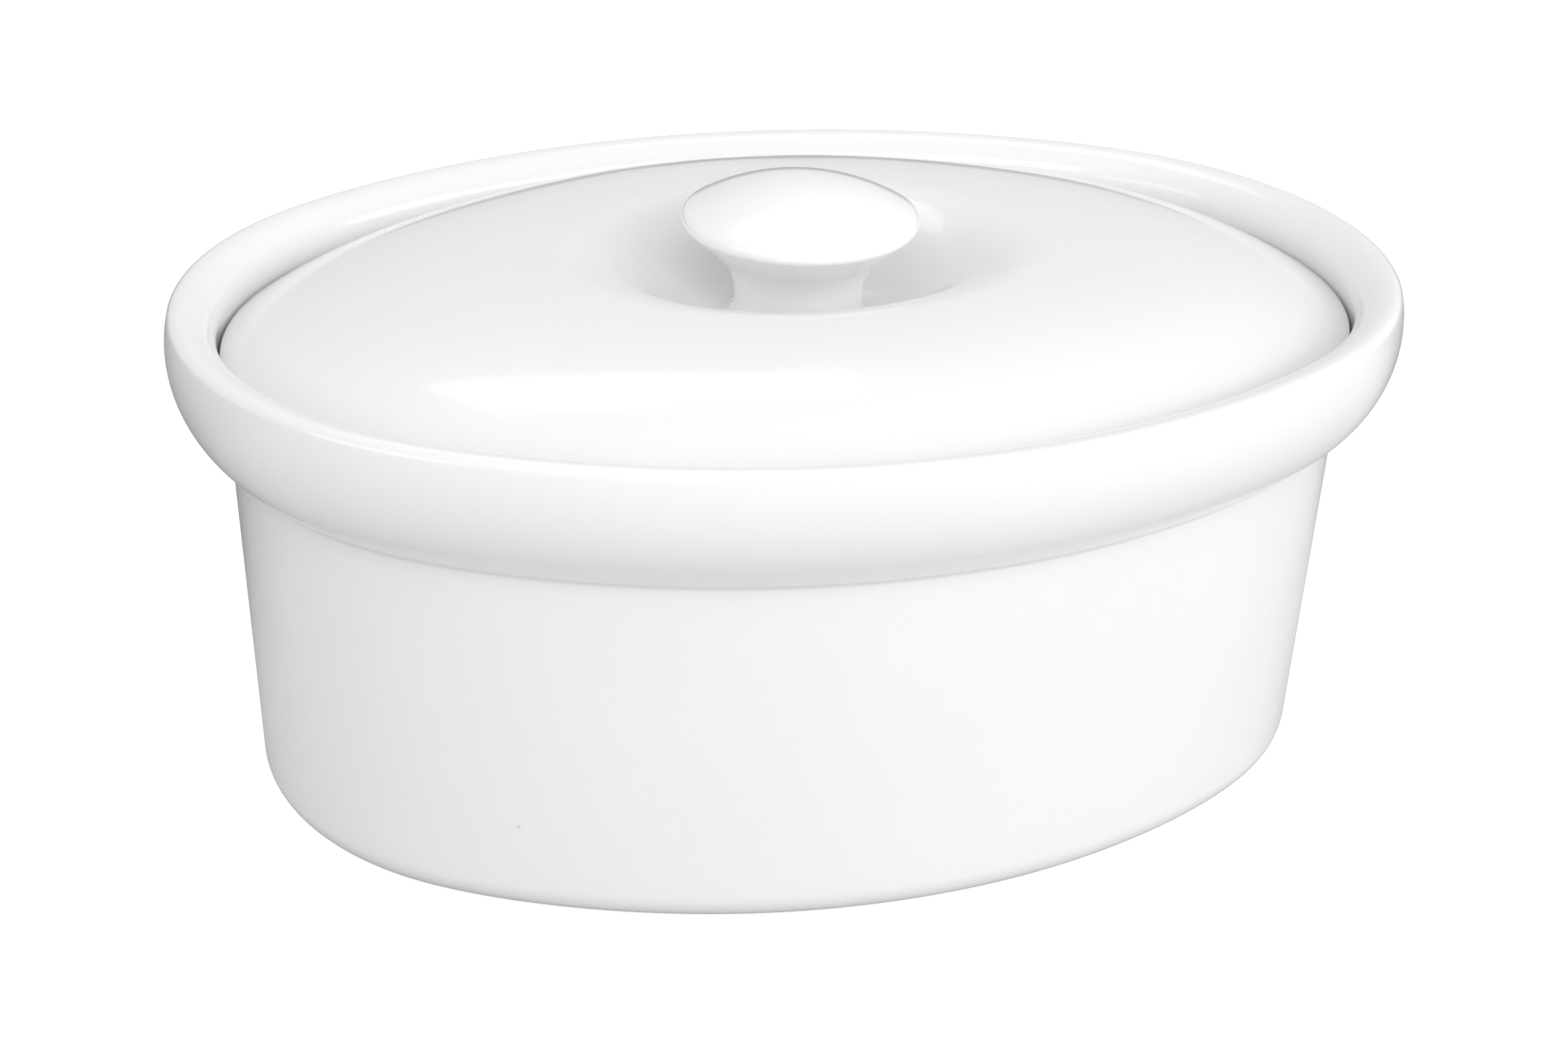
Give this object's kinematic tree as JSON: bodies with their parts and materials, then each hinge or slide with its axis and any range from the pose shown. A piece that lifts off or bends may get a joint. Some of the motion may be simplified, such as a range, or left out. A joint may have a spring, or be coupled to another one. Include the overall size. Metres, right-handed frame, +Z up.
{
  "type": "covered casserole dish",
  "caption": "Oval covered baking dish with a wide rolled collar, an inset domed lid on an inner ledge, and a flared knob standing in an oval finger well.",
  "frame": {"origin": "middle of the foot, on the surface that the dish stands on", "axes": "+X along the dish's long axis, +Y across it, +Z up through the knob"},
  "size_m": [0.28, 0.204, 0.138],
  "materials": {
    "dish_glaze": "glossy clear glaze over white porcelain, bare on the foot ring",
    "lid_glaze": "glossy clear glaze over white porcelain, bare on the seat",
    "knob_glaze": "glossy clear glaze over white porcelain"
  },
  "bodies": {
    "dish": {"casserole_dish": "dish_glaze"},
    "lid": {"lid": "lid_glaze", "lid_knob": "knob_glaze"}
  },
  "joints": [
    {"name": "lid_lift", "type": "slide", "parent": "dish", "child": "lid", "axis": [0, 0, 1], "range_m": [0, 0.15]}
  ]
}
